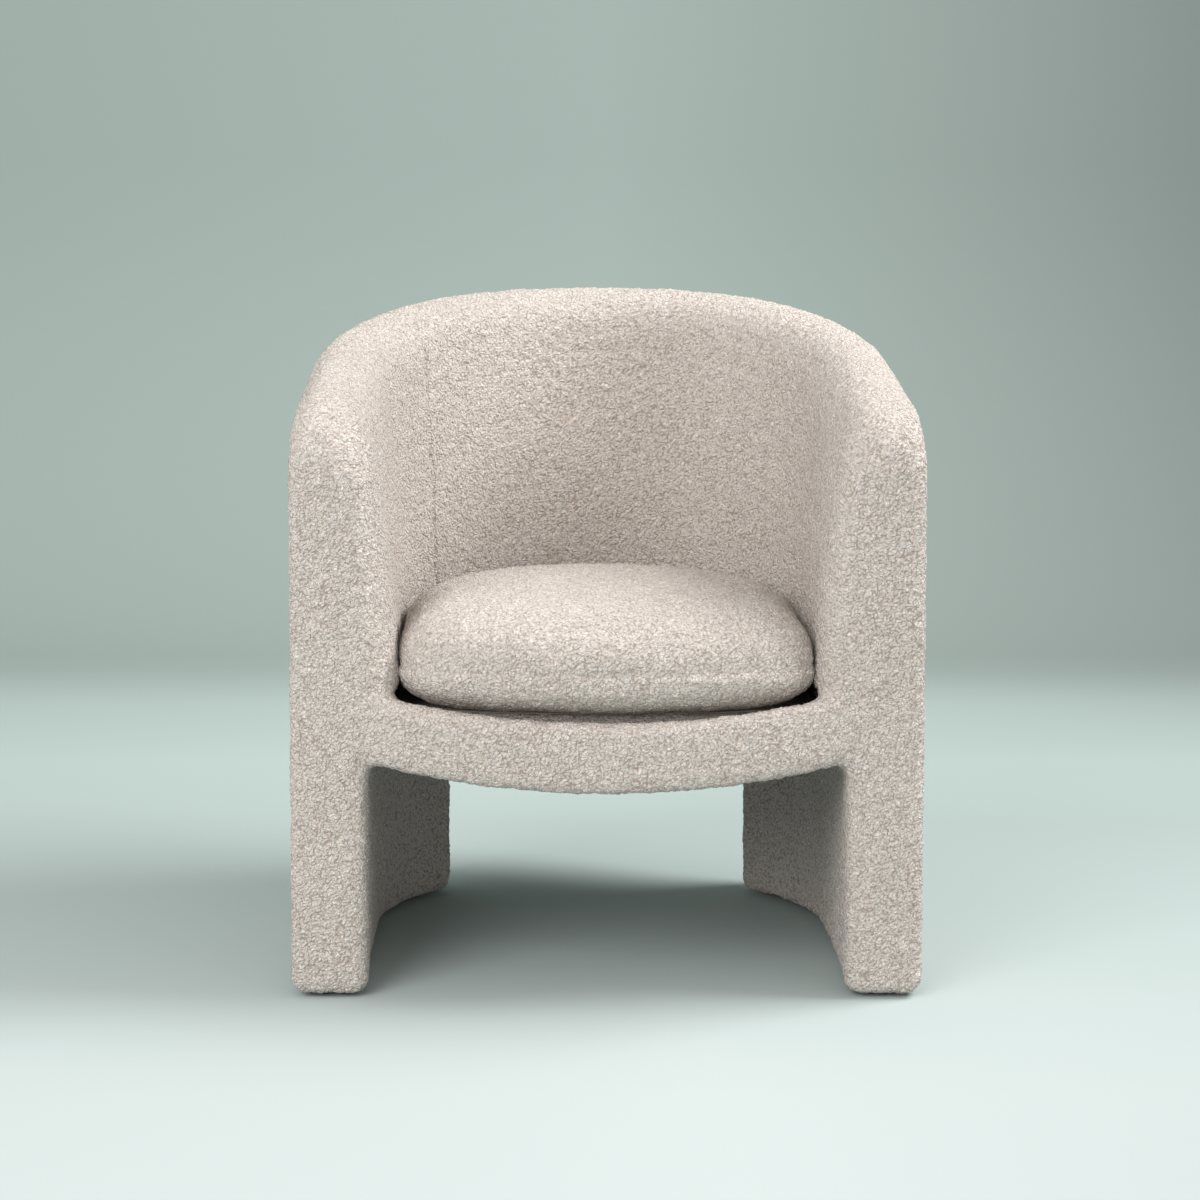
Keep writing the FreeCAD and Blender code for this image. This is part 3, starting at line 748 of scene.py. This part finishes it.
class Finish:
    """A procedural material, built one node at a time."""

    def __init__(self, name, colour, roughness):
        self.material = bpy.data.materials.new(name)
        self.material.use_nodes = True
        self.tree = self.material.node_tree
        self.shader = self.tree.nodes["Principled BSDF"]
        self.set("Base Color", (*linear(colour), 1))
        self.set("Roughness", roughness)
        self.material.diffuse_color = (*linear(colour), 1)
        self.place = self.add("TexCoord", {}, {}, "Object")

    def add(self, kind, settings, inputs, output=0):
        node = self.tree.nodes.new("ShaderNode" + kind)
        stops = settings.pop("stops", None)
        for key, value in settings.items():
            setattr(node, key, value)
        if stops:
            while len(node.color_ramp.elements) < len(stops):
                node.color_ramp.elements.new(0.5)
            for element, (position, colour) in zip(node.color_ramp.elements, stops):
                element.position = position
                element.color = (*linear(colour), 1)
        for key, value in inputs.items():
            self.join(node.inputs[key], value)
        return Level(self, node.outputs[output])

    def join(self, socket, value):
        if isinstance(value, Level):
            self.tree.links.new(value.socket, socket)
        else:
            socket.default_value = value

    def set(self, key, value):
        self.join(self.shader.inputs[key], value)

    def noise(self, scale, detail=2.0, place=None):
        inputs = {"Vector": place or self.place, "Scale": scale, "Detail": detail}
        return self.add("TexNoise", {}, inputs, "Fac")

    def shaken(self, scale, amount, place=None):
        """The place, moved a little this way and that, so that patterns wander."""
        place = place or self.place
        wander = self.add("TexNoise", {}, {"Vector": place, "Scale": scale, "Detail": 2.0}, "Color")
        move = self.add("VectorMath", {"operation": "SUBTRACT"}, {0: wander, 1: (0.5, 0.5, 0.5)})
        move = self.add("VectorMath", {"operation": "SCALE"}, {0: move, "Scale": amount})
        return self.add("VectorMath", {"operation": "ADD"}, {0: place, 1: move})

    def cells(self, scale, place):
        inputs = {"Vector": place, "Scale": scale, "Randomness": 1.0}
        return self.add("TexVoronoi", {"feature": "F1"}, inputs, "Distance")

    def colours(self, share, stops):
        return self.add("ValToRGB", {"stops": stops}, {"Fac": share}, "Color")

    def bumped(self, height, depth, strength=1.0):
        inputs = {"Height": height, "Distance": depth, "Strength": strength}
        self.set("Normal", self.add("Bump", {}, inputs, "Normal"))


def linear(colour):
    """Plain numbers for a colour given as it looks on a screen, 0 to 255."""
    return tuple((part / 255) ** 2.2 for part in colour)


def looped_cloth():
    """Looped cloth: irregular light loops of yarn over a woven ground, coloured by the loops' height:
    the darker ground is partly the yarn's own tone and partly painted shade in the hollows between
    loops, and the palest crowns carry a painted highlight.
    """
    cloth = Finish("looped_cloth_finish", (206, 197, 188), 0.95)
    wander = cloth.shaken(95.0, 0.0075)
    fine = cloth.shaken(420.0, 0.0022, wander)
    nub = cloth.cells(312.0, fine)
    loop = cloth.cells(390.0, wander)
    crown = (1.10 - nub * 1.30).clamped()
    curl = ((loop * 15.0).wave() * 0.5 + 0.5) * crown
    hair = cloth.noise(1100.0, 3.0)
    height = crown * 0.58 + curl * 0.24 + hair * 0.18
    patch = cloth.noise(9.0, 3.0)
    tuft = cloth.noise(60.0, 2.0)
    # Colour share: loop height gives painted shade between the loops and a painted highlight on their
    # crowns; tufts and patches give random tone.
    share = (height * 1.42 + tuft * 0.26 + patch * 0.12 - 0.27).clamped()
    stops = [
        (0.02, (160, 145, 134)),
        (0.20, (193, 180, 169)),
        (0.42, (218, 207, 198)),
        (0.70, (237, 228, 220)),
        (1.0, (249, 244, 239)),
    ]
    cloth.set("Base Color", cloth.colours(share, stops))
    cloth.set("Sheen Weight", 0.40)
    cloth.set("Sheen Roughness", 0.55)
    cloth.set("Sheen Tint", (*linear((240, 236, 230)), 1))
    cloth.set("Specular IOR Level", 0.12)
    cloth.bumped(height, 0.0060, 1.0)
    return cloth.material


def woven(name, colour, thread, depth=0.0003):
    """Plain woven cloth with crossing threads and a slightly uneven dye."""
    cloth = Finish(name, colour, 0.85)
    parts = cloth.add("SeparateXYZ", {}, {0: cloth.place}, 0)
    other = Level(cloth, parts.socket.node.outputs[1])
    turn = 2 * math.pi / thread
    warp = (parts * turn).wave()
    weft = (other * turn).wave()
    weave = (warp * weft) * 0.5 + 0.5
    uneven = cloth.noise(30.0, 4.0)
    share = (weave * 0.55 + uneven * 0.45).clamped()
    dark = tuple(part * 0.72 for part in colour)
    light = tuple(min(255, part * 1.12) for part in colour)
    cloth.set("Base Color", cloth.colours(share, [(0.15, dark), (0.85, light)]))
    cloth.bumped(weave, depth, 0.8)
    cloth.set("Sheen Weight", 0.1)
    return cloth.material


def plywood_finish():
    """Birch plywood: pale long grain with thin darker glue lines on the edges."""
    wood = Finish("birch_ply_finish", (206, 178, 138), 0.55)
    stretch = wood.add("Mapping", {}, {"Vector": wood.place, "Scale": (4.0, 40.0, 1.0)})
    grain = wood.noise(6.0, 6.0, stretch)
    parts = wood.add("SeparateXYZ", {}, {0: wood.place}, 2)
    layers = (parts * (2 * math.pi / 0.0036)).wave() * 0.5 + 0.5
    share = (grain * 0.7 + layers * 0.3).clamped()
    stops = [(0.2, (150, 112, 72)), (0.5, (200, 168, 124)), (0.85, (226, 202, 164))]
    wood.set("Base Color", wood.colours(share, stops))
    wood.set("Roughness", (grain * 0.25 + 0.45).clamped())
    wood.bumped(grain, 0.0004, 0.4)
    return wood.material


def timber_finish():
    """Sawn softwood with long rings and slightly rough faces."""
    wood = Finish("sawn_timber_finish", (196, 160, 112), 0.7)
    stretch = wood.add("Mapping", {}, {"Vector": wood.shaken(3.0, 0.02), "Scale": (28.0, 28.0, 2.2)})
    rings = wood.noise(3.0, 5.0, stretch)
    lines = (rings * 60.0).wave() * 0.5 + 0.5
    share = (rings * 0.5 + lines * 0.4).clamped()
    stops = [(0.15, (146, 104, 60)), (0.55, (196, 158, 108)), (0.9, (222, 192, 146))]
    wood.set("Base Color", wood.colours(share, stops))
    wood.bumped(lines, 0.0003, 0.4)
    return wood.material


def nylon_finish():
    """Hard grey nylon, scuffed where it meets the floor."""
    nylon = Finish("glide_nylon_finish", (98, 98, 100), 0.4)
    scuff = nylon.noise(160.0, 5.0)
    nylon.set("Base Color", nylon.colours(scuff, [(0.3, (78, 78, 80)), (0.75, (124, 124, 126))]))
    nylon.set("Roughness", (scuff * 0.4 + 0.3).clamped())
    nylon.bumped(scuff, 0.0001, 0.3)
    return nylon.material


def metal_finish():
    """Brushed nickel on the zip's slider."""
    metal = Finish("zip_nickel_finish", (176, 174, 170), 0.32)
    stretch = metal.add("Mapping", {}, {"Vector": metal.place, "Scale": (1.0, 1.0, 14.0)})
    brush = metal.noise(900.0, 3.0, stretch)
    metal.set("Metallic", 1.0)
    metal.set("Base Color", metal.colours(brush, [(0.3, (150, 148, 144)), (0.8, (204, 202, 198))]))
    metal.set("Roughness", (brush * 0.3 + 0.2).clamped())
    return metal.material


def foam_finish(name, colour):
    """Open foam or fibre, finely pitted."""
    foam = Finish(name, colour, 0.95)
    pits = foam.cells(650.0, foam.place)
    tone = foam.noise(14.0, 3.0)
    share = (pits * 0.8 + tone * 0.4).clamped()
    dark = tuple(part * 0.8 for part in colour)
    foam.set("Base Color", foam.colours(share, [(0.1, dark), (0.8, colour)]))
    foam.bumped(pits, 0.0005, 0.6)
    return foam.material


def dress(piece, material):
    piece.data.materials.clear()
    piece.data.materials.append(material)
    for polygon in piece.data.polygons:
        polygon.material_index = 0


# Putting the chair together

cloth = looped_cloth()
deck_finish = woven("deck_cloth_finish", (176, 168, 156), 0.0016)
dust_finish = woven("dust_cloth_finish", (38, 38, 40), 0.0012)
tape_finish = woven("zip_tape_finish", (188, 180, 170), 0.0010, depth=0.0002)
tooth_finish = foam_finish("zip_tooth_finish", (196, 188, 178))

STANDS_FOR = {
    "inside_back_cloth": ["inside_back_cover", "back_foam"],
    "outside_back_cloth": ["outside_back_cover"],
    "front_rail_cloth": ["front_rail_cover", "front_rail_foam"],
    "back_rail_cloth": ["back_rail_cover", "back_rail_foam"],
}
for side in ("_right", "_left"):
    STANDS_FOR["arm_cloth" + side] = ["arm_cover" + side, "arm_foam" + side]
    STANDS_FOR["outside_arm_cloth" + side] = ["outside_arm_cover" + side]
    STANDS_FOR["leg_cloth" + side] = ["leg_cover" + side, "leg_foam" + side]

for name, piece in upholster().items():
    dress(piece, cloth)
    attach(piece, "chair")
    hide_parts(*STANDS_FOR[name])

cushion = fill_cushion()
dress(cushion, cloth)
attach(cushion, "cushion")
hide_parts("cushion_top_cover", "cushion_bottom_cover", "cushion_wrap", "cushion_core")

tape = woven_tape("zip_tape", zip_low, zip_high, tape_reach)
dress(tape, tape_finish)
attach(tape, "cushion")
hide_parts("cushion_zip")

teeth = zip_teeth()
dress(teeth, tooth_finish)
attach(teeth, "cushion")

slider = slider_body()
dress(slider, metal_finish())
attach(slider, "zip_slider")
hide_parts("zip_slider")

deck, deck_area = flat_sheet("deck_sheet", "deck_cloth", sheet_thickness, 0.0008)
dress(deck, deck_finish)
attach(deck, "chair")
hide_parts("deck_cloth", "deck_foam")

dust, dust_area = flat_sheet("dust_sheet", "dust_cover", sheet_thickness, -0.0010)
dress(dust, dust_finish)
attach(dust, "chair")
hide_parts("dust_cover")

NODE_FINISHES = {
    "plywood": plywood_finish(),
    "timber": timber_finish(),
    "webbing": woven("webbing_finish", (60, 58, 56), 0.0030, depth=0.0006),
    "glide_nylon": nylon_finish(),
    "foam": foam_finish("foam_finish", (214, 204, 160)),
    "fibre": foam_finish("fibre_finish", (236, 236, 232)),
    "looped_cloth": cloth,
    "deck_cloth": deck_finish,
    "dust_cloth": dust_finish,
    "zip_tape": tape_finish,
}
for node in nodes.values():
    for slot in node.material_slots:
        base = slot.material.name.split(".")[0] if slot.material else ""
        if base in NODE_FINISHES:
            slot.material = NODE_FINISHES[base]


# Studio


def swept_backdrop():
    """Floor that curves up into a wall behind the chair, in one sheet."""
    bm = bmesh.new()
    run = [Vector((-12, -14, 0)), Vector((-12, 2.2, 0))]
    run += [
        Vector((-12, 2.2 + 1.2 * math.sin(math.radians(turn)), 1.2 - 1.2 * math.cos(math.radians(turn))))
        for turn in range(10, 91, 10)
    ]
    run.append(Vector((-12, 3.4, 8)))
    verts = [bm.verts.new(spot) for spot in run]
    edges = [bm.edges.new(pair) for pair in zip(verts, verts[1:])]
    made = bmesh.ops.extrude_edge_only(bm, edges=edges)["geom"]
    moved = [item for item in made if isinstance(item, bmesh.types.BMVert)]
    bmesh.ops.translate(bm, verts=moved, vec=(24, 0, 0))
    bmesh.ops.recalc_face_normals(bm, faces=bm.faces)
    floor = min(bm.faces, key=lambda face: face.calc_center_median().z)
    if floor.normal.z < 0:
        bmesh.ops.reverse_faces(bm, faces=bm.faces)
    piece = new_piece("studio_sweep", bm)
    smooth_faces(piece)
    return piece


def sweep_finish():
    """Pale mint paper with painted light falloff: darker towards the back and to the right."""
    paper = Finish("studio_paper_painted_falloff_finish", (222, 230, 226), 0.9)
    along = paper.add("SeparateXYZ", {}, {0: paper.place}, 1)
    across = Level(paper, along.socket.node.outputs[0])
    # Painted light falloff from near the camera towards the back wall.
    share = ((along + 2.2) * 0.22).clamped()
    colour = paper.colours(share, SWEEP_PAINTED_FALLOFF_STOPS)
    # Painted shade: the paper darkens towards the right-hand side.
    painted_right_falloff = ((across - 0.1) * 0.38).clamped()
    painted_right_falloff = paper.add("Math", {"operation": "MINIMUM"}, {0: painted_right_falloff, 1: 0.6})
    edge = (1.0 - painted_right_falloff * 0.58).clamped()
    shade = paper.add("CombineColor", {}, {0: edge, 1: edge, 2: edge})
    settings = {"data_type": "RGBA", "blend_type": "MULTIPLY"}
    tone = paper.add("Mix", settings, {"Factor": 1.0, 6: colour, 7: shade}, 2)
    paper.set("Base Color", tone)
    paper.set("Specular IOR Level", 0.1)
    return paper.material


# Painted light falloff: brightness of the paper from near the camera (0) to the back wall (1).
SWEEP_PAINTED_FALLOFF_STOPS = [
    (0.0, (176, 183, 183)),
    (0.345, (175, 184, 183)),
    (0.46, (169, 181, 179)),
    (0.62, (165, 178, 175)),
    (0.73, (172, 187, 183)),
    (0.87, (168, 182, 178)),
    (1.0, (149, 161, 157)),
]

sweep = swept_backdrop()
dress(sweep, sweep_finish())


def soft_lamp(name, spot, aim, size, power, tint):
    lamp = bpy.data.lights.new(name, "AREA")
    lamp.shape = "DISK"
    lamp.size = size
    lamp.energy = power
    lamp.color = tint
    holder = bpy.data.objects.new(name, lamp)
    bpy.context.scene.collection.objects.link(holder)
    holder.location = spot
    holder.rotation_mode = "QUATERNION"
    holder.rotation_quaternion = (Vector(aim) - Vector(spot)).to_track_quat("-Z", "Y")


soft_lamp("key_lamp", (2.4, 0.05, 2.8), (0, 0, 0.4), 1.8, 138, (1.0, 0.995, 0.99))
soft_lamp("fill_lamp", (-1.9, -3.2, 2.2), (0, 0, 0.5), 2.6, 98, (1.0, 0.984, 0.972))

world = bpy.data.worlds.new("studio_air")
bpy.context.scene.world = world
world.use_nodes = True
world.node_tree.nodes["Background"].inputs["Color"].default_value = (1.0, 0.985, 0.975, 1)
world.node_tree.nodes["Background"].inputs["Strength"].default_value = 0.98

lens = bpy.data.cameras.new("camera")
lens.lens = 68.94
lens.sensor_width = 36
lens.shift_x = 0.0506
lens.shift_y = -0.0904
camera = bpy.data.objects.new("camera", lens)
bpy.context.scene.collection.objects.link(camera)
camera.location = (-0.076, -2.833, 0.748)
camera.rotation_euler = (math.radians(90 - 4), 0, 0)
bpy.context.scene.camera = camera
bpy.context.scene.view_settings.view_transform = "Standard"
